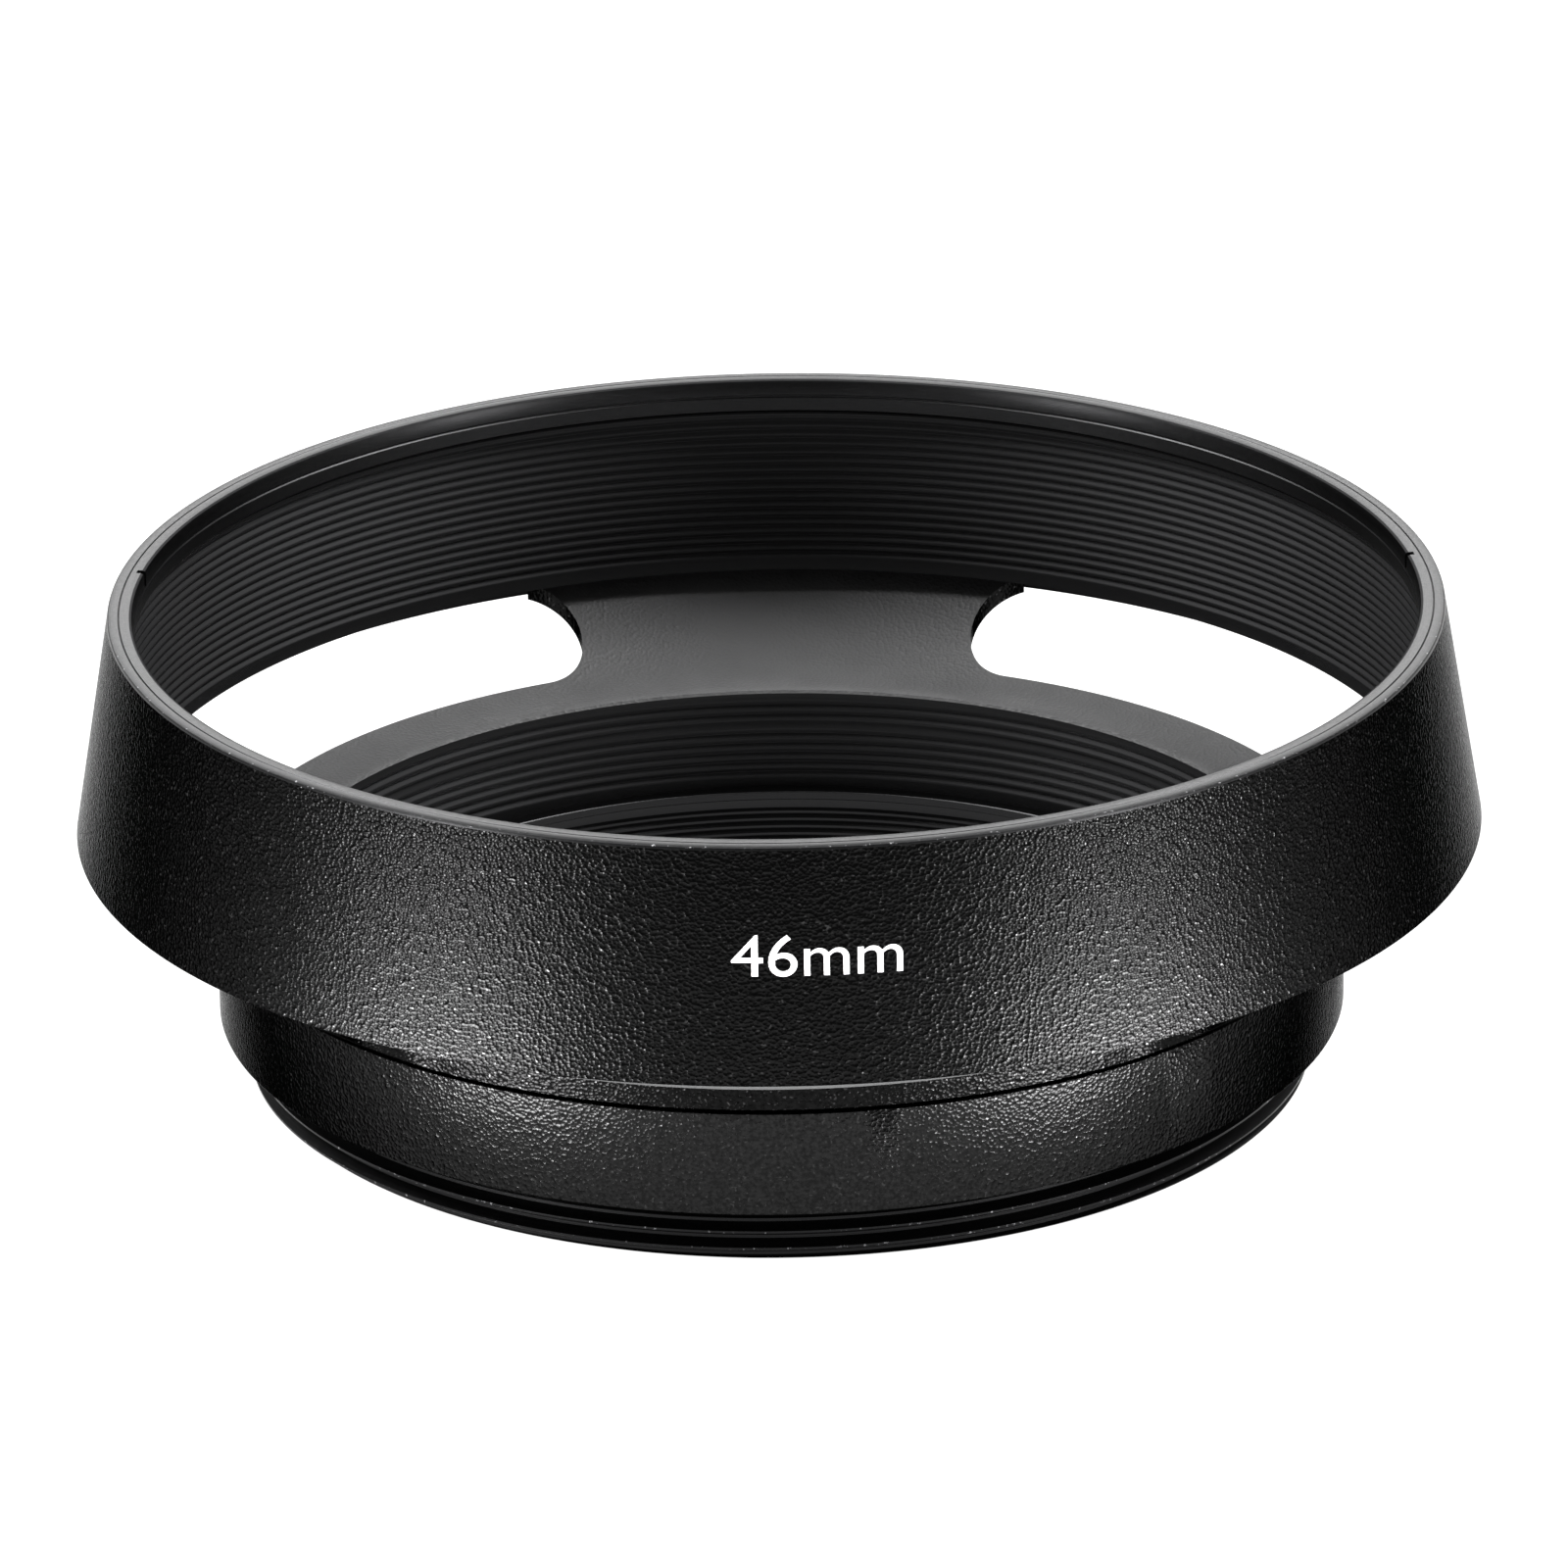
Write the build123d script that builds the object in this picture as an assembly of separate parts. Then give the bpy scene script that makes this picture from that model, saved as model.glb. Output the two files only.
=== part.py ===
from build123d import *
import os

# Vented lens hood that screws into a 46 mm lens thread. Units are millimetres.
# The origin is the centre of the rear edge, +Z runs along the light axis towards the front rim,
# and -Y is the side with the size marking. Every ring is turned about Z.

# Rear thread ring: M46 x 0.75
thread_radius = 23.0
thread_length = 1.8
thread_lead_in = 0.3
relief_radius = 22.45
thread_bore_radius = 21.6
lip_radius = 21.3
lip_bottom = 3.06
lip_top = 3.44
thread_seat_radius = 23.2

# Mount barrel
shoulder_height = 2.62
barrel_radius = 24.3
barrel_top = 7.33
barrel_bore_radius = 22.0
barrel_ridge_bottom = 3.8
barrel_ridge_count = 6

# Vent spider: a dished disc with three slots, pressed between the barrel and the shade. It thins to a
# cone that runs out under the shade, where a step meets the shade's seat.
spigot_bottom = 6.56
spigot_radius = 23.1
spider_radius = 29.65
spider_top = 11.6
flange_rise = 0.628
dish_radius = 5.69
dish_centre_radius = 22.6
dish_centre_height = 13.75
spider_step_radius = 29.3
slot_middle_radius = 27.15
slot_width = 5.1
slot_half_angle = 35.5
slot_azimuths = (-90, 30, 150)

# Shade ring
shade_seat_radius = 29.7
shade_bottom = 10.97
shade_bottom_radius = 30.2
shade_top = 20.8
shade_top_radius = 28.6
shade_bore_radius = 27.9
shade_ridge_bottom = 12.2
shade_ridge_count = 16
shade_ridge_top = 18.92

# Front trim ring, screwed into the shade behind the rim
trim_outer_radius = 28.1
trim_inner_radius = 27.5
trim_bottom = 19.35
trim_chamfer = 0.15
trim_notch_width = 0.35
trim_notch_depth = 0.7
trim_notch_azimuths = (9, 171)

# Anti-reflection ridges: V grooves of one depth, cut at these pitches
ridge_depth = 0.12
barrel_ridge_pitch = 0.46
shade_ridge_pitch = (shade_ridge_top - shade_ridge_bottom) / shade_ridge_count

# Small breaks on turned edges
edge_break = 0.12


def ridges(radius, bottom, pitch, count):
    """Points of a row of V grooves cut outwards from a bore, from its lowest crest to its highest."""
    points = [(radius, bottom)]
    for i in range(count):
        points.append((radius + ridge_depth, bottom + (i + 0.5) * pitch))
        points.append((radius, bottom + (i + 1) * pitch))
    return points


def turned(outline):
    """A ring turned about Z from a closed outline of (radius, height) points."""
    return revolve(Plane.XZ * make_face(Polyline(*outline, close=True)), axis=Axis.Z)


def flange_height(radius):
    """Height of the conical underside of the vent flange at a radius."""
    return barrel_top + flange_rise * (radius - barrel_radius)


def make_thread_ring():
    """Male thread at its major diameter, a relief groove, and a collar that seats in the barrel."""
    return turned([
        (thread_bore_radius, 0),
        (thread_radius - thread_lead_in, 0),
        (thread_radius, thread_lead_in),
        (thread_radius, thread_length),
        (relief_radius, thread_length),
        (relief_radius, shoulder_height),
        (thread_seat_radius, shoulder_height),
        (thread_seat_radius, lip_top),
        (lip_radius, lip_top),
        (lip_radius, lip_bottom),
        (thread_bore_radius, lip_bottom - edge_break),
    ])


def make_mount_barrel():
    """Plain outside wall with a flat rear shoulder, and a ridged bore between two seats."""
    bore = ridges(barrel_bore_radius, barrel_ridge_bottom, barrel_ridge_pitch, barrel_ridge_count)
    return turned([
        (thread_seat_radius, lip_top),
        (thread_seat_radius, shoulder_height),
        (barrel_radius - edge_break, shoulder_height),
        (barrel_radius, shoulder_height + edge_break),
        (barrel_radius, barrel_top - edge_break),
        (barrel_radius - edge_break, barrel_top),
        (spigot_radius, barrel_top),
        (spigot_radius, spigot_bottom),
        (barrel_bore_radius, spigot_bottom),
        *reversed(bore),
        (barrel_bore_radius, lip_top),
    ])


def make_vent_spider():
    """Disc with a spigot in the barrel, curving into a thin cone, cut through by three round-ended slots."""
    spigot = ridges(barrel_bore_radius, spigot_bottom, barrel_ridge_pitch, 3)
    dish_start = (dish_centre_radius, dish_centre_height - dish_radius)
    slope_length = (1 + flange_rise**2) ** 0.5
    dish_end = (
        dish_centre_radius + dish_radius * flange_rise / slope_length,
        dish_centre_height - dish_radius / slope_length,
    )
    step_foot = (spider_step_radius, dish_end[1] + flange_rise * (spider_step_radius - dish_end[0]))
    dish = RadiusArc(dish_end, dish_start, dish_radius)
    outline = Polyline(
        dish_start,
        (barrel_bore_radius + edge_break, dish_start[1]),
        *reversed(spigot),
        (spigot_radius, spigot_bottom),
        (spigot_radius, barrel_top),
        (barrel_radius, barrel_top),
        (spider_radius, flange_height(spider_radius)),
        (spider_radius, spider_top),
        (spider_step_radius, spider_top),
        step_foot,
        dish_end,
    )
    disc = revolve(Plane.XZ * make_face(outline + dish), axis=Axis.Z)
    for azimuth in slot_azimuths:
        path = CenterArc((0, 0), slot_middle_radius, azimuth - slot_half_angle, 2 * slot_half_angle)
        disc -= extrude(Pos(0, 0, spigot_bottom) * SlotArc(path, slot_width), spider_top)
    return disc


def make_shade_ring():
    """Conical shade with a seat for the spider, a ridged bore, and a counterbore for the trim ring."""
    bore = ridges(shade_bore_radius, shade_ridge_bottom, shade_ridge_pitch, shade_ridge_count)
    groove_top = trim_bottom - edge_break
    return turned([
        (shade_seat_radius, spider_top),
        (shade_seat_radius, flange_height(shade_seat_radius)),
        (shade_bottom_radius - edge_break, flange_height(shade_bottom_radius - edge_break)),
        (shade_bottom_radius, shade_bottom + edge_break),
        (shade_top_radius, shade_top - edge_break),
        (shade_top_radius - edge_break, shade_top),
        (trim_outer_radius, shade_top),
        (trim_outer_radius, groove_top),
        *reversed(bore),
        (shade_bore_radius, spider_top),
    ])


def make_front_trim_ring():
    """Thin ring with a chamfered mouth and two small spanner notches across it."""
    ring = turned([
        (trim_inner_radius, trim_bottom),
        (trim_outer_radius, trim_bottom),
        (trim_outer_radius, shade_top),
        (trim_inner_radius + trim_chamfer, shade_top),
        (trim_inner_radius, shade_top - trim_chamfer),
    ])
    for azimuth in trim_notch_azimuths:
        notch = Pos(trim_inner_radius, 0, shade_top) * Box(trim_notch_depth, trim_notch_width, 2 * trim_notch_depth)
        ring -= Rot(0, 0, azimuth) * notch
    return ring


parts = {
    "thread_ring": make_thread_ring(),
    "mount_barrel": make_mount_barrel(),
    "vent_spider": make_vent_spider(),
    "shade_ring": make_shade_ring(),
    "front_trim_ring": make_front_trim_ring(),
}

os.makedirs("parts", exist_ok=True)
for name, shape in parts.items():
    export_step(shape, f"parts/{name}.step")
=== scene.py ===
import bpy
from math import atan2, cos, hypot, pi, radians, sin
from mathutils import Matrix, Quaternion, Vector


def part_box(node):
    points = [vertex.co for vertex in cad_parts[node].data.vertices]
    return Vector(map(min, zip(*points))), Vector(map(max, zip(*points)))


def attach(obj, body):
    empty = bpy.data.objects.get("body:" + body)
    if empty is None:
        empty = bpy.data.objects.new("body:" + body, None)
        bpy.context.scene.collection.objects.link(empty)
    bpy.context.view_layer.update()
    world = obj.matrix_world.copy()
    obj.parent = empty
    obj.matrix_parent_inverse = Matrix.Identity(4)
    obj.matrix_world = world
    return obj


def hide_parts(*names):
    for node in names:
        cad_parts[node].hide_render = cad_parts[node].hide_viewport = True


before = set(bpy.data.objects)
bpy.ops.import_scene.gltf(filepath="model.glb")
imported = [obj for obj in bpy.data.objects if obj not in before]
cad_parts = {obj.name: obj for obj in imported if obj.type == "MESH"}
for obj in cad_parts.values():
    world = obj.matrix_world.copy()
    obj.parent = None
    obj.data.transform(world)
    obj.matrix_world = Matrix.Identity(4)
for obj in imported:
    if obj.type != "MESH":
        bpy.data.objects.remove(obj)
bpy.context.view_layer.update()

# Thread ring: the rear end of the hood, black anodised aluminium, turned and then cut with a
# right-hand 46 mm thread of 0.75 mm pitch. A relief groove ends the thread under the shoulder,
# a collar seats in the barrel, and a small lip stands in the bore.
mm = 0.001
turn_steps = 240
merge_distance = 0.002 * mm
crease_angle = radians(32)


def start_point(name, place):
    """A new object with one vertex at a place in millimetres, left in edit mode."""
    if bpy.context.object and bpy.context.object.mode == "EDIT":
        bpy.ops.object.mode_set(mode="OBJECT")
    bpy.ops.object.select_all(action="DESELECT")
    bpy.ops.mesh.primitive_plane_add(size=mm, location=[length * mm for length in place])
    piece = bpy.context.object
    piece.name = name
    bpy.ops.object.transform_apply(location=True, rotation=True, scale=True)
    bpy.ops.object.mode_set(mode="EDIT")
    bpy.ops.mesh.select_all(action="SELECT")
    bpy.ops.mesh.merge(type="CENTER")
    return piece


def draw_outline(outline):
    """Extrudes the chosen vertex along (radius, height) points and back to the first."""
    here = outline[0]
    for point in outline[1:] + outline[:1]:
        step = ((point[0] - here[0]) * mm, 0, (point[1] - here[1]) * mm)
        bpy.ops.mesh.extrude_vertices_move(TRANSFORM_OT_translate={"value": step})
        here = point


def close_shell():
    """Merges what lies together, turns all faces outwards and leaves edit mode."""
    bpy.ops.mesh.select_all(action="SELECT")
    bpy.ops.mesh.remove_doubles(threshold=merge_distance)
    bpy.ops.mesh.normals_make_consistent(inside=False)
    bpy.ops.object.mode_set(mode="OBJECT")


def turn(name, outline, steps=turn_steps):
    """A ring turned once round Z from a closed outline of (radius, height) points."""
    ring = start_point(name, (outline[0][0], 0, outline[0][1]))
    draw_outline(outline)
    bpy.ops.mesh.select_all(action="SELECT")
    bpy.ops.mesh.spin(steps=steps, angle=2 * pi, center=(0, 0, 0), axis=(0, 0, 1))
    close_shell()
    return ring


def apply_modifier(piece, kind, **settings):
    """Adds a modifier to a piece, sets it and applies it."""
    bpy.ops.object.select_all(action="DESELECT")
    piece.select_set(True)
    bpy.context.view_layer.objects.active = piece
    modifier = piece.modifiers.new(kind.lower(), kind)
    for setting, value in settings.items():
        setattr(modifier, setting, value)
    bpy.ops.object.modifier_apply(modifier=modifier.name)


def cut(piece, cutter):
    """Takes the cutter's shape out of the piece and throws the cutter away."""
    apply_modifier(piece, "BOOLEAN", object=cutter, operation="DIFFERENCE", solver="EXACT")
    bpy.data.objects.remove(cutter)
    bpy.ops.object.mode_set(mode="EDIT")
    close_shell()


def smooth(piece):
    """Smooth shading that stays sharp at the turned and milled edges."""
    bpy.ops.object.select_all(action="DESELECT")
    piece.select_set(True)
    bpy.context.view_layer.objects.active = piece
    bpy.ops.object.shade_smooth_by_angle(angle=crease_angle)


thread_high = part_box("thread_ring")[1]
thread_collar_radius = thread_high.x / mm
thread_top = thread_high.z / mm
thread_radius = 23.0
thread_length = 1.8
thread_lead_in = 0.3
thread_bore = 21.6
thread_pitch = 0.75
thread_depth = 0.46
thread_crest = 0.09
relief_radius = 22.45
shoulder_height = 2.62
lip_radius = 21.3
lip_bottom = 3.06
lip_slope = 0.12
fine_ridge_depth = 0.1
fine_ridge_pitch = 0.35
fine_ridge_count = 6
fine_ridge_bottom = 0.55
fine_crest_share = 0.3
fine_groove_share = 0.65
fine_edge = 0.04

thread_bore_outline = []
for i in range(fine_ridge_count):
    crest = fine_ridge_bottom + i * fine_ridge_pitch
    thread_bore_outline += [
        (thread_bore, crest),
        (thread_bore, crest + fine_crest_share * fine_ridge_pitch),
        (thread_bore + fine_ridge_depth, crest + fine_groove_share * fine_ridge_pitch),
    ]
thread_ring = turn("thread_ring_cut", [
    (thread_bore + fine_edge, 0),
    (thread_radius - thread_lead_in, 0),
    (thread_radius, thread_lead_in),
    (thread_radius, thread_length - fine_edge),
    (thread_radius - fine_edge, thread_length),
    (relief_radius + fine_edge, thread_length),
    (relief_radius, thread_length + fine_edge),
    (relief_radius, shoulder_height - fine_edge),
    (relief_radius + fine_edge, shoulder_height),
    (thread_collar_radius, shoulder_height),
    (thread_collar_radius, thread_top),
    (lip_radius + fine_edge, thread_top),
    (lip_radius, thread_top - fine_edge),
    (lip_radius, lip_bottom + fine_edge),
    (lip_radius + fine_edge, lip_bottom),
    (thread_bore, lip_bottom - lip_slope),
] + thread_bore_outline[::-1] + [(thread_bore, fine_edge)])

# The thread tool starts at +X, a quarter turn past the front, two turns below the front crest,
# and its tip runs half a pitch from the crests.
flank = 0.5774
tool_reach = 0.05
tip_half = (thread_pitch - thread_crest) / 2 - thread_depth * flank
mouth_half = (thread_pitch - thread_crest) / 2 + tool_reach * flank
front_crest_height = 0.54
past_front = 0.25
crest_to_tip = 0.5
turns_below = 2
tool_turns = 4.5
tool_start = front_crest_height + thread_pitch * (past_front - crest_to_tip - turns_below)
root_radius = thread_radius - thread_depth
thread_tool = start_point("thread_cutter", (root_radius, 0, tool_start - tip_half))
draw_outline([
    (root_radius, tool_start - tip_half),
    (root_radius, tool_start + tip_half),
    (thread_radius + tool_reach, tool_start + mouth_half),
    (thread_radius + tool_reach, tool_start - mouth_half),
])
bpy.ops.mesh.select_all(action="SELECT")
bpy.ops.mesh.remove_doubles(threshold=merge_distance)
bpy.ops.object.mode_set(mode="OBJECT")
apply_modifier(
    thread_tool, "SCREW", axis="Z", angle=tool_turns * 2 * pi,
    screw_offset=tool_turns * thread_pitch * mm,
    steps=int(tool_turns * turn_steps), render_steps=int(tool_turns * turn_steps),
)
bpy.ops.object.mode_set(mode="EDIT")
bpy.ops.mesh.select_all(action="SELECT")
bpy.ops.mesh.fill_holes(sides=4)
close_shell()
cut(thread_ring, thread_tool)
smooth(thread_ring)


def new_finish(name):
    """A new material with its node tree, its shader and its Object coordinates."""
    finish = bpy.data.materials.new(name)
    finish.use_nodes = True
    tree = finish.node_tree
    shader = tree.nodes["Principled BSDF"]
    coordinates = tree.nodes.new("ShaderNodeTexCoord")
    return finish, tree, shader, coordinates.outputs["Object"]


def noise(tree, where, scale, detail=2.0, roughness=0.5):
    """Noise texture whose scale is in features per metre."""
    texture = tree.nodes.new("ShaderNodeTexNoise")
    texture.inputs["Scale"].default_value = scale
    texture.inputs["Detail"].default_value = detail
    texture.inputs["Roughness"].default_value = roughness
    tree.links.new(where, texture.inputs["Vector"])
    return texture.outputs["Fac"]


def math(tree, operation, first, second=0.0):
    """Math node of two values, either of which may be a socket."""
    node = tree.nodes.new("ShaderNodeMath")
    node.operation = operation
    for socket, value in zip(node.inputs, (first, second)):
        if isinstance(value, (int, float)):
            socket.default_value = value
        else:
            tree.links.new(value, socket)
    return node.outputs[0]


def spread(tree, value, low, high, to_low=0.0, to_high=1.0):
    """Maps a value's range from low to high smoothly onto another range."""
    node = tree.nodes.new("ShaderNodeMapRange")
    node.interpolation_type = "SMOOTHSTEP"
    tree.links.new(value, node.inputs["Value"])
    for socket, number in zip(list(node.inputs)[1:5], (low, high, to_low, to_high)):
        socket.default_value = number
    return node.outputs["Result"]


def mix_colours(tree, share, first, second):
    """Mixes two colours, either of which may be a socket."""
    node = tree.nodes.new("ShaderNodeMix")
    node.data_type = "RGBA"
    tree.links.new(share, node.inputs[0])
    for socket, value in zip((node.inputs[6], node.inputs[7]), (first, second)):
        if isinstance(value, tuple):
            socket.default_value = (*value, 1)
        else:
            tree.links.new(value, socket)
    return node.outputs[2]


def raise_grain(tree, shader, height, depth):
    """Bump of a height pattern on the shader, its depth in metres."""
    bump = tree.nodes.new("ShaderNodeBump")
    bump.inputs["Strength"].default_value = 1.0
    bump.inputs["Distance"].default_value = depth
    tree.links.new(height, bump.inputs["Height"])
    tree.links.new(bump.outputs["Normal"], shader.inputs["Normal"])


def anodised(shader, tint):
    """Sets the shader to metal under a black dyed oxide, which stays dark at a glancing angle."""
    shader.inputs["Metallic"].default_value = 1.0
    shader.inputs["Specular Tint"].default_value = (tint, tint, tint, 1)


no_wear = 1.0
wear_grain = 4000
wear_blend = 0.00003
mottle_grain = 6000
turned_dark = (0.017, 0.017, 0.0175)
turned_light = (0.022, 0.022, 0.0225)
bare_metal = (0.30, 0.30, 0.31)
tool_ring_pitch = 0.00007
tool_ring_share = 0.3
tool_grain = 14000
tool_mark_depth = 0.000003


def turned_black(name, tint=0.5, wear_height=no_wear, wear_radius=no_wear, shine=0.33):
    """Black anodised turned metal: fine tool rings, and stray flecks of bare metal on an edge.

    Flecks show above a height and outside a radius, both in metres. Shine is the least roughness.
    """
    finish, tree, shader, where = new_finish(name)
    anodised(shader, tint)
    split = tree.nodes.new("ShaderNodeSeparateXYZ")
    tree.links.new(where, split.inputs[0])
    flat = tree.nodes.new("ShaderNodeVectorMath")
    flat.operation = "MULTIPLY"
    flat.inputs[1].default_value = (1, 1, 0)
    tree.links.new(where, flat.inputs[0])
    radius = tree.nodes.new("ShaderNodeVectorMath")
    radius.operation = "LENGTH"
    tree.links.new(flat.outputs[0], radius.inputs[0])
    wear = spread(tree, noise(tree, where, wear_grain, 3.0, 0.7), 0.60, 0.70)
    outside = spread(tree, radius.outputs["Value"], wear_radius, wear_radius + wear_blend)
    wear = math(tree, "MULTIPLY", wear, outside)
    above = spread(tree, split.outputs["Z"], wear_height, wear_height + wear_blend)
    wear = math(tree, "MULTIPLY", wear, above)
    tone = mix_colours(tree, noise(tree, where, mottle_grain), turned_dark, turned_light)
    tree.links.new(mix_colours(tree, wear, tone, bare_metal), shader.inputs["Base Color"])
    gloss = spread(tree, noise(tree, where, mottle_grain), 0.3, 0.7, shine, shine + 0.05)
    tree.links.new(gloss, shader.inputs["Roughness"])
    rings = math(tree, "ADD", radius.outputs["Value"], split.outputs["Z"])
    rings = math(tree, "SINE", math(tree, "MULTIPLY", rings, 2 * pi / tool_ring_pitch))
    rings = math(tree, "MULTIPLY", rings, tool_ring_share)
    grain = math(tree, "ADD", rings, noise(tree, where, tool_grain, 2.0))
    raise_grain(tree, shader, grain, tool_mark_depth)
    return finish


thread_wear_height = 0.3 * mm
thread_wear_radius = (thread_radius - 0.03) * mm
thread_black = turned_black("black_turned_thread", 1.0, thread_wear_height, thread_wear_radius)
thread_ring.data.materials.append(thread_black)
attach(thread_ring, "root")
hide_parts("thread_ring")

# Mount barrel: a plain black tube of aluminium, bead blasted outside. Its flat rear shoulder stops
# against the lens, and six V ridges in its bore kill reflections. The spider's spigot sits in its top.
barrel_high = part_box("mount_barrel")[1]
barrel_radius = barrel_high.x / mm
barrel_top = barrel_high.z / mm
barrel_bore = 22.0
barrel_edge = 0.1
barrel_ridge_bottom = 3.8
barrel_ridge_pitch = 0.46
barrel_ridge_count = 6
spigot_bottom = 6.56
spigot_radius = 23.1
seam_radius = 24.0
seam_depth = 0.17
seat_gap = 0.1
first_land = 0.1
ridge_depth = 0.12
land_share = 0.2
land_inset = 0.01
land_round = 0.015
land_drop = 0.02
groove_half = 0.015


def ridge_row(bore, bottom, pitch, count):
    """Points up a bore of V grooves with narrow flat lands between them, lowest land first."""
    row = []
    land_half = land_share * pitch / 2
    for i in range(count):
        land = bottom + i * pitch
        row += [
            (bore + land_round, land - land_half - land_drop),
            (bore, land - land_half + land_inset),
            (bore, land + land_half - land_inset),
            (bore + land_round, land + land_half + land_drop),
            (bore + ridge_depth, land + pitch / 2 - groove_half),
            (bore + ridge_depth, land + pitch / 2 + groove_half),
        ]
    return row


barrel_ridges = ridge_row(
    barrel_bore, barrel_ridge_bottom + first_land, barrel_ridge_pitch, barrel_ridge_count,
)
barrel_bore_outline = [
    (barrel_bore, thread_top),
    *barrel_ridges[:-2],
    (barrel_bore + seat_gap, spigot_bottom),
]
mount_barrel = turn("mount_barrel_blasted", [
    (thread_collar_radius, thread_top),
    (thread_collar_radius, shoulder_height),
    (barrel_radius - barrel_edge, shoulder_height),
    (barrel_radius - 0.3 * barrel_edge, shoulder_height + 0.3 * barrel_edge),
    (barrel_radius, shoulder_height + barrel_edge),
    (barrel_radius, barrel_top - seam_depth),
    (barrel_radius - 0.5 * fine_edge, barrel_top - seam_depth + 0.8 * fine_edge),
    (seam_radius, barrel_top - seam_depth + 2 * fine_edge),
    (seam_radius, barrel_top),
    (spigot_radius, barrel_top),
    (spigot_radius, spigot_bottom),
] + barrel_bore_outline[::-1])
smooth(mount_barrel)

bead_marks = 6200
bead_depth = 0.00003
speck_grain = 7000
speck_colour = (0.04, 0.04, 0.04)


def dimple_heights(tree, where, count):
    """Round dimples, so many to the metre, like the marks that blasted beads leave."""
    cells = tree.nodes.new("ShaderNodeTexVoronoi")
    cells.inputs["Scale"].default_value = count
    tree.links.new(where, cells.inputs["Vector"])
    return math(tree, "POWER", cells.outputs["Distance"], 2.0)


def blasted_black(name, tint=0.35, dark=0.009, light=0.014):
    """Black anodised bead-blasted metal: fine dimples that scatter a highlight into bright grains."""
    finish, tree, shader, where = new_finish(name)
    anodised(shader, tint)
    dimples = dimple_heights(tree, where, bead_marks)
    mottle = spread(tree, noise(tree, where, mottle_grain), 0.35, 0.65)
    tone = mix_colours(tree, mottle, (dark,) * 3, (light,) * 3)
    specks = spread(tree, noise(tree, where, speck_grain, 0.0), 0.72, 0.77)
    tree.links.new(mix_colours(tree, specks, tone, speck_colour), shader.inputs["Base Color"])
    gloss = spread(tree, noise(tree, where, mottle_grain), 0.4, 0.6, 0.26, 0.20)
    tree.links.new(gloss, shader.inputs["Roughness"])
    raise_grain(tree, shader, dimples, bead_depth)
    return finish


def finish_faces(piece, finish, chosen=None):
    """Adds a finish to a piece, on the faces that the test picks by middle and outward direction."""
    piece.data.materials.append(finish)
    if chosen:
        for face in piece.data.polygons:
            if chosen(face.center, face.normal):
                face.material_index = len(piece.data.materials) - 1


def faces_axis(middle, outward):
    """True on the faces of a bore, which look towards the axis."""
    return middle.x * outward.x + middle.y * outward.y < -0.2 * hypot(middle.x, middle.y)


bore_tint = 0.3
bore_shine = 0.60
# The barrel's blasted finish is a lighter copy of the shade's, painted light that brightens its
# reflections.
barrel_painted_light_black = blasted_black("black_blasted_barrel_painted_light", 0.25, 0.014, 0.023)
finish_faces(mount_barrel, barrel_painted_light_black)
bore_black = turned_black("black_turned_bore", bore_tint, shine=bore_shine)
finish_faces(mount_barrel, bore_black, faces_axis)
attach(mount_barrel, "root")
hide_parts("mount_barrel")

# Vent spider: a dished aluminium disc, satin black, that carries the shade on three webs. Three long
# slots with round ends are milled through it, and its spigot is pressed into the top of the barrel.
spider_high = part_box("vent_spider")[1]
spider_radius = spider_high.x / mm
spider_top = spider_high.z / mm
spider_steps = 720
flange_rise = 0.628
dish_radius = 5.69
dish_centre = (22.6, 13.75)
dish_steps = 14
dish_edge = 0.2
step_radius = 29.3
spigot_ridge_count = 3
slot_middle = 27.15
slot_width = 5.1
slot_inner = slot_middle - slot_width / 2
slot_half_angle = 35.5
slot_azimuths = (-90, 30, 150)
slot_arc_steps = 142
slot_end_steps = 36
slot_cutter_height = 8


def flange_height(radius):
    """Height of the conical underside of the flange at a radius."""
    return barrel_top + flange_rise * (radius - barrel_radius)


dish_turn = atan2(flange_rise, 1)
dish_outline = []
for i in range(dish_steps + 1):
    swing = dish_turn * i / dish_steps
    dish_outline.append((
        dish_centre[0] + dish_radius * sin(swing),
        dish_centre[1] - dish_radius * cos(swing),
    ))
dish_floor = dish_outline[0][1]
dish_end_radius, dish_end_height = dish_outline[-1]
step_foot = dish_end_height + flange_rise * (step_radius - dish_end_radius)
spigot_ridges = ridge_row(
    barrel_bore, spigot_bottom + first_land, barrel_ridge_pitch, spigot_ridge_count,
)
vent_spider = turn("vent_spider_milled", [
    (spigot_radius, spigot_bottom),
    (spigot_radius, barrel_top),
    (seam_radius, barrel_top),
    (slot_inner, flange_height(slot_inner)),
    (spider_radius, flange_height(spider_radius)),
    (spider_radius, spider_top),
    (step_radius, spider_top),
    (step_radius, step_foot),
    *dish_outline[::-1],
    (barrel_bore + dish_edge, dish_floor),
    (barrel_bore + 0.4 * dish_edge, dish_floor - 0.2 * dish_edge),
    (barrel_bore, dish_floor - 0.8 * dish_edge),
    *spigot_ridges[-3::-1],
    (barrel_bore + seat_gap, spigot_bottom),
], spider_steps)


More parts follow.
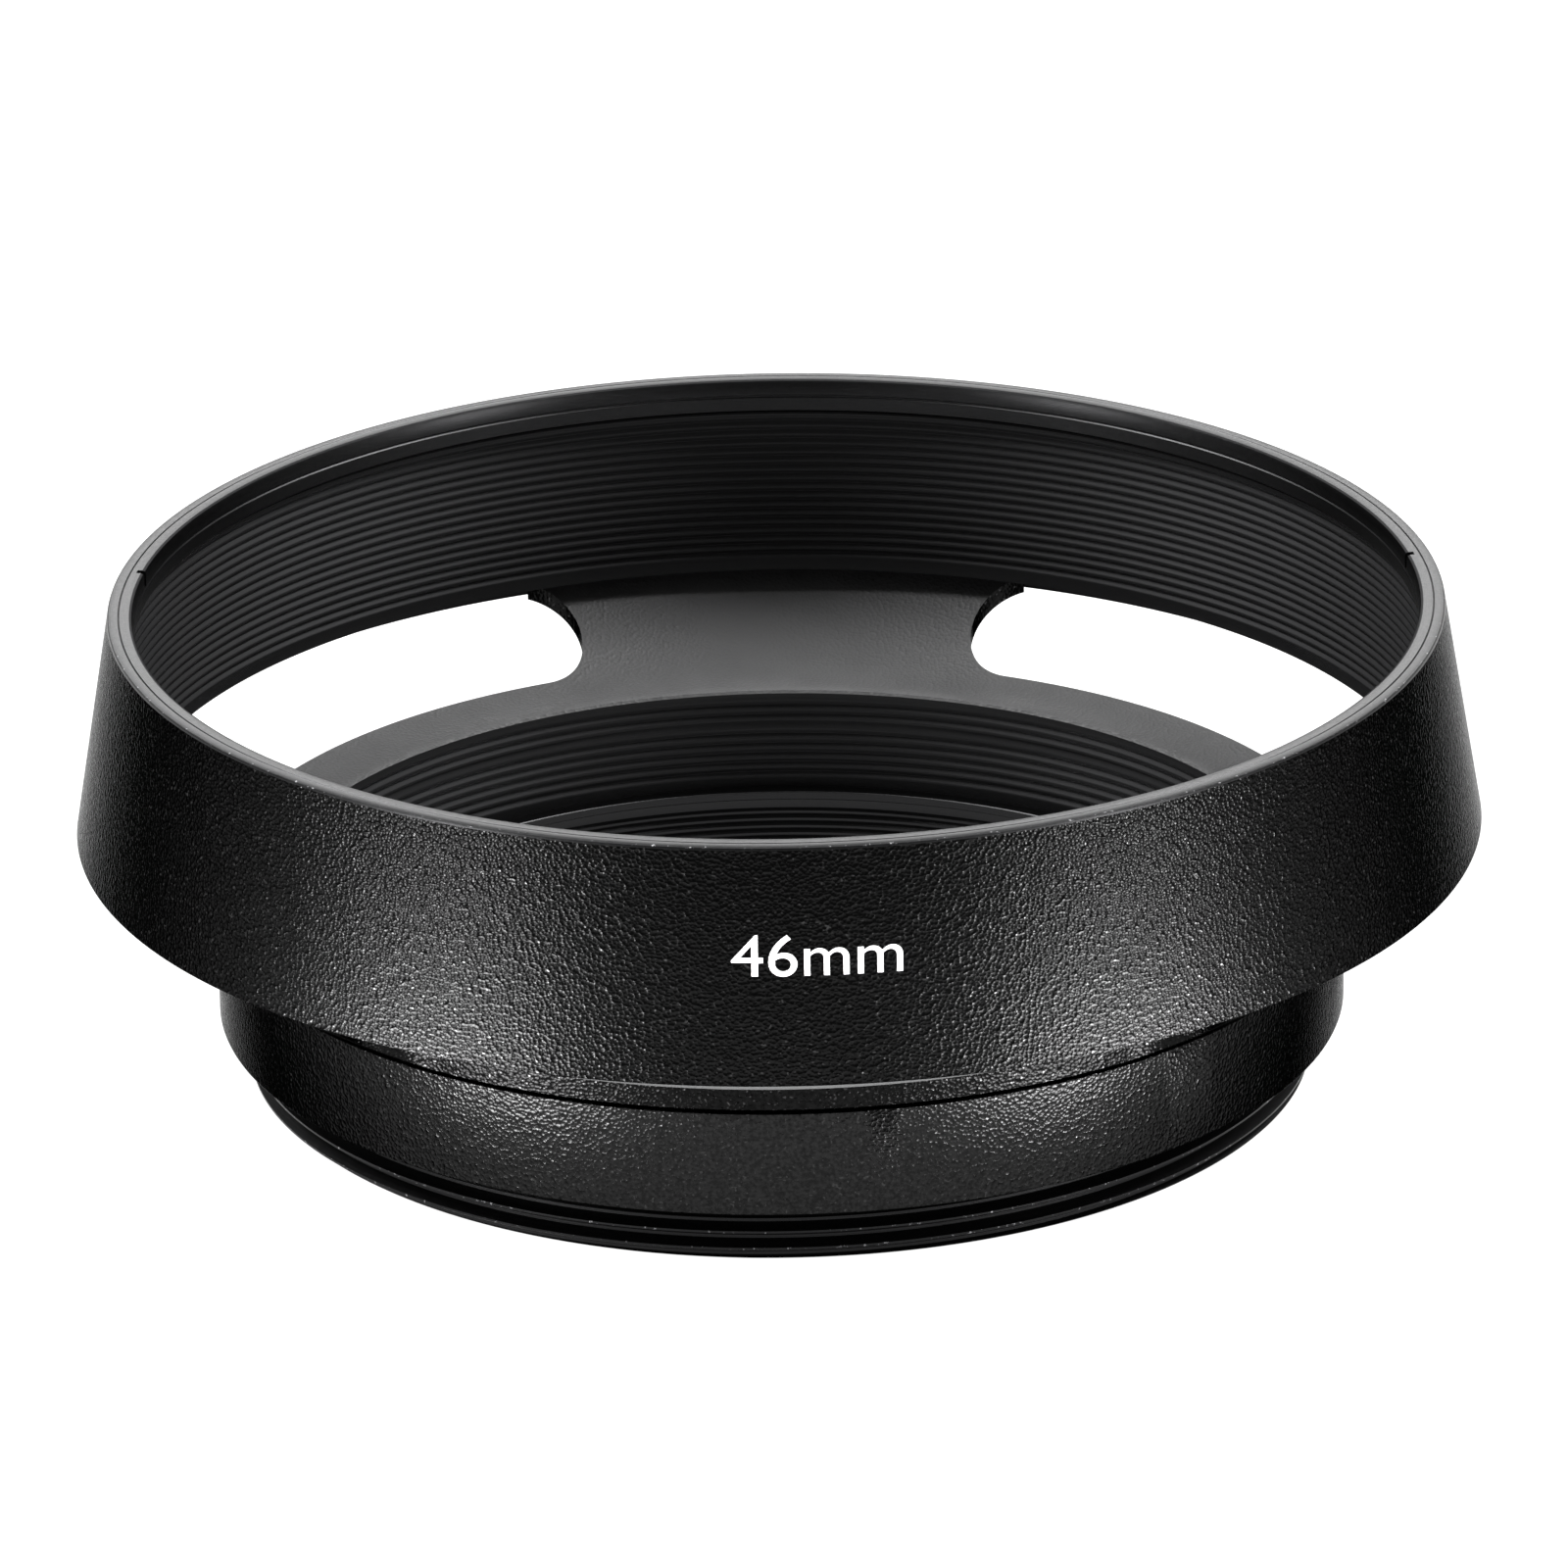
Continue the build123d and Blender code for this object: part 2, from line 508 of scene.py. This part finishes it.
def slot_cutter(azimuth):
    """A tall prism with the outline of a curved slot with round ends, centred on an azimuth."""
    ends = [radians(azimuth - slot_half_angle), radians(azimuth + slot_half_angle)]
    corner = (slot_inner * cos(ends[0]), slot_inner * sin(ends[0]), spigot_bottom - 1)
    cutter = start_point("slot_cutter", corner)
    swing = 2 * radians(slot_half_angle)
    for end, across in ((ends[1], -swing), (ends[0], swing)):
        bpy.ops.mesh.spin(steps=slot_arc_steps, angle=across, center=(0, 0, 0), axis=(0, 0, 1))
        middle = (slot_middle * mm * cos(end), slot_middle * mm * sin(end), 0)
        bpy.ops.mesh.spin(steps=slot_end_steps, angle=pi, center=middle, axis=(0, 0, 1))
    bpy.ops.mesh.select_all(action="SELECT")
    bpy.ops.mesh.remove_doubles(threshold=merge_distance)
    bpy.ops.mesh.edge_face_add()
    lift = (0, 0, slot_cutter_height * mm)
    bpy.ops.mesh.extrude_region_move(TRANSFORM_OT_translate={"value": lift})
    close_shell()
    return cutter


for azimuth in slot_azimuths:
    cut(vent_spider, slot_cutter(azimuth))
smooth(vent_spider)

cloud_grain = 700
satin_dark = (0.038, 0.038, 0.0385)
satin_light = (0.047, 0.047, 0.0475)
satin_gloss = 0.22
satin_depth = 0.00002


def satin_black(name):
    """Black anodised metal blasted with the finest beads, with faint clouding."""
    finish, tree, shader, where = new_finish(name)
    clouds = noise(tree, where, cloud_grain, 3.0)
    tone = mix_colours(tree, clouds, satin_dark, satin_light)
    tree.links.new(tone, shader.inputs["Base Color"])
    tree.links.new(spread(tree, clouds, 0.3, 0.7, 0.50, 0.58), shader.inputs["Roughness"])
    shader.inputs["Specular IOR Level"].default_value = satin_gloss
    raise_grain(tree, shader, dimple_heights(tree, where, bead_marks), satin_depth)
    return finish


spigot_bore_top = 7.95


def under_or_in_slot(middle, outward):
    """True on the spider's underside and on the walls of its slots."""
    return outward.z < 0.3


def in_spigot_bore(middle, outward):
    """True on the ridges that carry the barrel's bore on up the spigot."""
    return middle.z < spigot_bore_top * mm and faces_axis(middle, outward)


finish_faces(vent_spider, satin_black("black_satin_spider"))
# The spider's underside and slot walls take a darker copy of the blasted finish, painted shade under
# the flange.
underside_painted_shade = blasted_black("black_blasted_underside_painted_shade", 0.25, 0.006, 0.010)
finish_faces(vent_spider, underside_painted_shade, under_or_in_slot)
spigot_black = turned_black("black_turned_spigot", bore_tint, shine=bore_shine)
finish_faces(vent_spider, spigot_black, in_spigot_bore)
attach(vent_spider, "root")
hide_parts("vent_spider")

# Shade ring: the wide conical front, black anodised aluminium, bead blasted outside and turned flat
# on the rim. Sixteen V ridges line its bore, and it is pressed onto the ends of the spider's webs.
shade_low, shade_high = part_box("shade_ring")
shade_base_radius = shade_high.x / mm
shade_base = shade_low.z / mm
shade_top = shade_high.z / mm
shade_steps = 300
shade_seat = 29.7
shade_top_radius = 28.6
shade_bore = 27.9
shade_foot = 0.25
shade_edge = 0.07
rim_edge = 0.14
shade_ridge_bottom = 12.2
shade_ridge_top = 18.92
shade_ridge_count = 16
shade_pitch = (shade_ridge_top - shade_ridge_bottom) / shade_ridge_count
trim_seat = 28.1
trim_bottom = 19.35
trim_gap = 0.2

shade_ridges = ridge_row(shade_bore, shade_ridge_bottom, shade_pitch, shade_ridge_count + 1)
shade_bore_outline = [
    (shade_bore, spider_top),
    *shade_ridges[:-2],
    (shade_bore, trim_bottom - trim_gap - shade_edge),
    (shade_bore + shade_edge, trim_bottom - trim_gap),
    (trim_seat, trim_bottom - trim_gap),
]
shade_ring = turn("shade_ring_blasted", [
    (shade_seat, spider_top),
    (shade_seat, flange_height(shade_seat)),
    (shade_base_radius - shade_edge, flange_height(shade_base_radius - shade_edge)),
    (shade_base_radius - 0.3 * shade_edge, flange_height(shade_base_radius - 0.3 * shade_edge)),
    (shade_base_radius, shade_base + shade_foot),
    (shade_top_radius, shade_top - rim_edge),
    (shade_top_radius - 0.25 * rim_edge, shade_top - 0.3 * rim_edge),
    (shade_top_radius - rim_edge, shade_top),
    (trim_seat + fine_edge, shade_top),
    (trim_seat, shade_top - fine_edge),
] + shade_bore_outline[::-1], shade_steps)
smooth(shade_ring)


def under_shade(middle, outward):
    """True on the shade's foot, which looks down at the flange."""
    return outward.z < -0.2


def on_rim(middle, outward):
    """True on the flat of the rim and its outer edge."""
    return middle.z > (shade_top - rim_edge) * mm


finish_faces(shade_ring, blasted_black("black_blasted_shade"))
# The shade's foot takes the same darker copy of the blasted finish, painted shade.
finish_faces(shade_ring, underside_painted_shade, under_shade)
shade_bore_black = turned_black("black_turned_shade_bore", bore_tint, shine=bore_shine)
finish_faces(shade_ring, shade_bore_black, faces_axis)
rim_wear_height = (shade_top - 0.6 * rim_edge) * mm
rim_wear_radius = (shade_top_radius - rim_edge) * mm
rim_black = turned_black("black_turned_rim", 1.0, rim_wear_height, rim_wear_radius)
finish_faces(shade_ring, rim_black, on_rim)
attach(shade_ring, "root")
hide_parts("shade_ring")

# Front trim ring: a thin black turned ring screwed into the rim from the front, with a chamfered
# mouth, a bore with one fine line turned in it, and two small nicks across it that a spanner holds.
trim_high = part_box("front_trim_ring")[1]
trim_radius = trim_high.x / mm
trim_top = trim_high.z / mm
trim_steps = 300
trim_bore = 27.5
trim_chamfer = 0.15
trim_line_depth = 0.05
trim_line_height = 0.74
notch_width = 0.35
notch_depth = 0.7
notch_azimuths = (9, 171)

front_trim = turn("front_trim_turned", [
    (trim_bore + fine_edge, trim_bottom),
    (trim_radius, trim_bottom),
    (trim_radius, trim_top - fine_edge),
    (trim_radius - fine_edge, trim_top),
    (trim_bore + trim_chamfer, trim_top),
    (trim_bore + 0.3 * trim_chamfer, trim_top - 0.3 * trim_chamfer),
    (trim_bore, trim_top - trim_chamfer),
    (trim_bore, trim_top - trim_line_height + trim_line_depth),
    (trim_bore + trim_line_depth, trim_top - trim_line_height),
    (trim_bore + trim_line_depth, trim_top - trim_line_height - trim_line_depth),
    (trim_bore, trim_top - trim_line_height - 2 * trim_line_depth),
    (trim_bore, trim_bottom + fine_edge),
], trim_steps)
for azimuth in notch_azimuths:
    bpy.ops.object.select_all(action="DESELECT")
    bpy.ops.mesh.primitive_cube_add(size=mm, scale=(notch_depth, notch_width, 2 * notch_depth))
    notch = bpy.context.object
    around = radians(azimuth)
    notch.location = (trim_bore * mm * cos(around), trim_bore * mm * sin(around), trim_top * mm)
    notch.rotation_euler = (0, 0, around)
    cut(front_trim, notch)
smooth(front_trim)
finish_faces(front_trim, turned_black("black_turned_trim", 1.0))
finish_faces(front_trim, turned_black("black_turned_trim_bore"), faces_axis)
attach(front_trim, "root")
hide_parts("front_trim_ring")

# Size marking: the thread size, 46 mm, printed in white ink on the front of the shade. The ink is a
# thin even coat that follows the cone, and it names a size and nothing else.
marking_height = 1.8
marking_bottom = 15.5
marking_centre = 1.53
marking_width = 1.15
capital_share = 0.73
stroke_thinning = 0.004
bend_pitch = 0.3
bends_each_way = 15
ink_merge = 0.001
ink_thickness = 0.02
bpy.ops.object.select_all(action="DESELECT")
bpy.ops.object.text_add()
marking = bpy.context.object
marking.name = "size_marking"
marking.data.body = "46mm"
marking.data.align_x = "CENTER"
marking.data.size = marking_height * mm / capital_share
marking.data.offset = -stroke_thinning * mm
marking.data.resolution_u = 6
marking.rotation_euler = (pi / 2, 0, 0)
marking.scale = (marking_width, 1, 1)
marking.location = (marking_centre * mm, -(shade_base_radius + 1) * mm, marking_bottom * mm)
bpy.ops.object.convert(target="MESH")
bpy.ops.object.transform_apply(location=True, rotation=True, scale=True)
bpy.ops.object.mode_set(mode="EDIT")
for i in range(-bends_each_way, bends_each_way + 1):
    bpy.ops.mesh.select_all(action="SELECT")
    bpy.ops.mesh.bisect(
        plane_co=((marking_centre + bend_pitch * i) * mm, 0, 0), plane_no=(1, 0, 0),
        use_fill=False, clear_inner=False, clear_outer=False,
    )
bpy.ops.mesh.select_all(action="SELECT")
bpy.ops.mesh.remove_doubles(threshold=ink_merge * mm)
bpy.ops.object.mode_set(mode="OBJECT")
apply_modifier(
    marking, "SHRINKWRAP", target=shade_ring, wrap_method="PROJECT", use_project_y=True,
    use_negative_direction=True, use_positive_direction=True,
)
apply_modifier(marking, "SOLIDIFY", thickness=ink_thickness * mm, offset=1.0)

ink_mottle = 5000
ink_dull = (0.82, 0.82, 0.82)
ink_bright = (0.95, 0.95, 0.95)
ink_grain = 9000
ink_grain_depth = 0.000004
ink, ink_tree, ink_shader, ink_where = new_finish("white_ink")
ink_tone = mix_colours(ink_tree, noise(ink_tree, ink_where, ink_mottle), ink_dull, ink_bright)
ink_tree.links.new(ink_tone, ink_shader.inputs["Base Color"])
ink_shader.inputs["Roughness"].default_value = 0.5
raise_grain(ink_tree, ink_shader, noise(ink_tree, ink_where, ink_grain), ink_grain_depth)
marking.data.materials.clear()
marking.data.materials.append(ink)
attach(marking, "root")

# Studio: a plain floor that glows evenly white, and soft lights. A wide one overhead and one behind
# light the rim and the dish. To each side, a low one draws the bright band on the shade, a high one
# lights the flank and the rim, and a small panel on the floor draws the bright band on the barrel.
floor_size = 2.4
floor_colour = (0.1, 0.1, 0.1, 1)
floor_glow = (1, 1, 1, 1)
bpy.ops.object.select_all(action="DESELECT")
bpy.ops.mesh.primitive_plane_add(size=floor_size, location=(0, 0, 0))
floor = bpy.context.object
floor.name = "floor"
floor_white, floor_tree, floor_shader, floor_where = new_finish("floor_white")
floor_shader.inputs["Base Color"].default_value = floor_colour
floor_shader.inputs["Emission Color"].default_value = floor_glow
floor_shader.inputs["Emission Strength"].default_value = 1.0
floor_shader.inputs["Roughness"].default_value = 0.9
floor_shader.inputs["Specular IOR Level"].default_value = 0.1
floor.data.materials.append(floor_white)


def soft_light(name, place, target, size, power):
    """A square or oblong area light that faces a target."""
    bpy.ops.object.light_add(type="AREA", location=place)
    light = bpy.context.object
    light.name = name
    light.rotation_euler = (Vector(target) - Vector(place)).to_track_quat("-Z", "Y").to_euler()
    light.data.shape = "RECTANGLE"
    light.data.size, light.data.size_y = size
    light.data.energy = power


hood_middle = (0, 0, 0.01)
side_distance = 0.7
side_swing = radians(56)
side_height = 0.075
panel_aside = 0.039
panel_forward = 0.044
panel_lift = 0.0005
soft_light("top_light", (0, 0.3, 1.0), (0, 0.3, 0), size=(1.0, 0.6), power=6)
soft_light("rear_light", (0, 0.75, 0.38), hood_middle, size=(0.5, 0.4), power=3)
for side in (-1, 1):
    side_place = (side * side_distance * sin(side_swing), -side_distance * cos(side_swing), side_height)
    soft_light("side_light", side_place, hood_middle, size=(0.11, 0.13), power=2.7)
    soft_light("high_light", (side * 0.48, 0.1, 0.64), hood_middle, size=(0.4, 0.4), power=16)
    panel_place = (side * panel_aside, -panel_forward, panel_lift)
    above_panel = (panel_place[0], panel_place[1], 1)
    soft_light("floor_light", panel_place, above_panel, size=(0.026, 0.026), power=0.12)

world_grey = (0.2, 0.2, 0.2, 1)
world = bpy.data.worlds.new("studio")
world.use_nodes = True
world.node_tree.nodes["Background"].inputs["Color"].default_value = world_grey
bpy.context.scene.world = world
bpy.context.scene.view_settings.view_transform = "Standard"

# Camera: a long lens in front of the size marking, looking a little down into the mouth.
camera_distance = 0.54236
camera_elevation = radians(21.743)
camera_pivot_height = 0.011
camera_aim = Vector((0.00023, 0, 0.01225))
camera_roll = radians(-0.825)
camera_place = Vector((
    0,
    -camera_distance * cos(camera_elevation),
    camera_pivot_height + camera_distance * sin(camera_elevation),
))
bpy.ops.object.camera_add(location=camera_place)
camera = bpy.context.object
camera.rotation_mode = "QUATERNION"
looking = (camera_aim - camera_place).to_track_quat("-Z", "Y")
camera.rotation_quaternion = looking @ Quaternion((0, 0, 1), camera_roll)
camera.data.lens = 289.28
camera.data.sensor_width = 36
camera.data.clip_start = 0.01
camera.data.clip_end = 10
bpy.context.scene.camera = camera
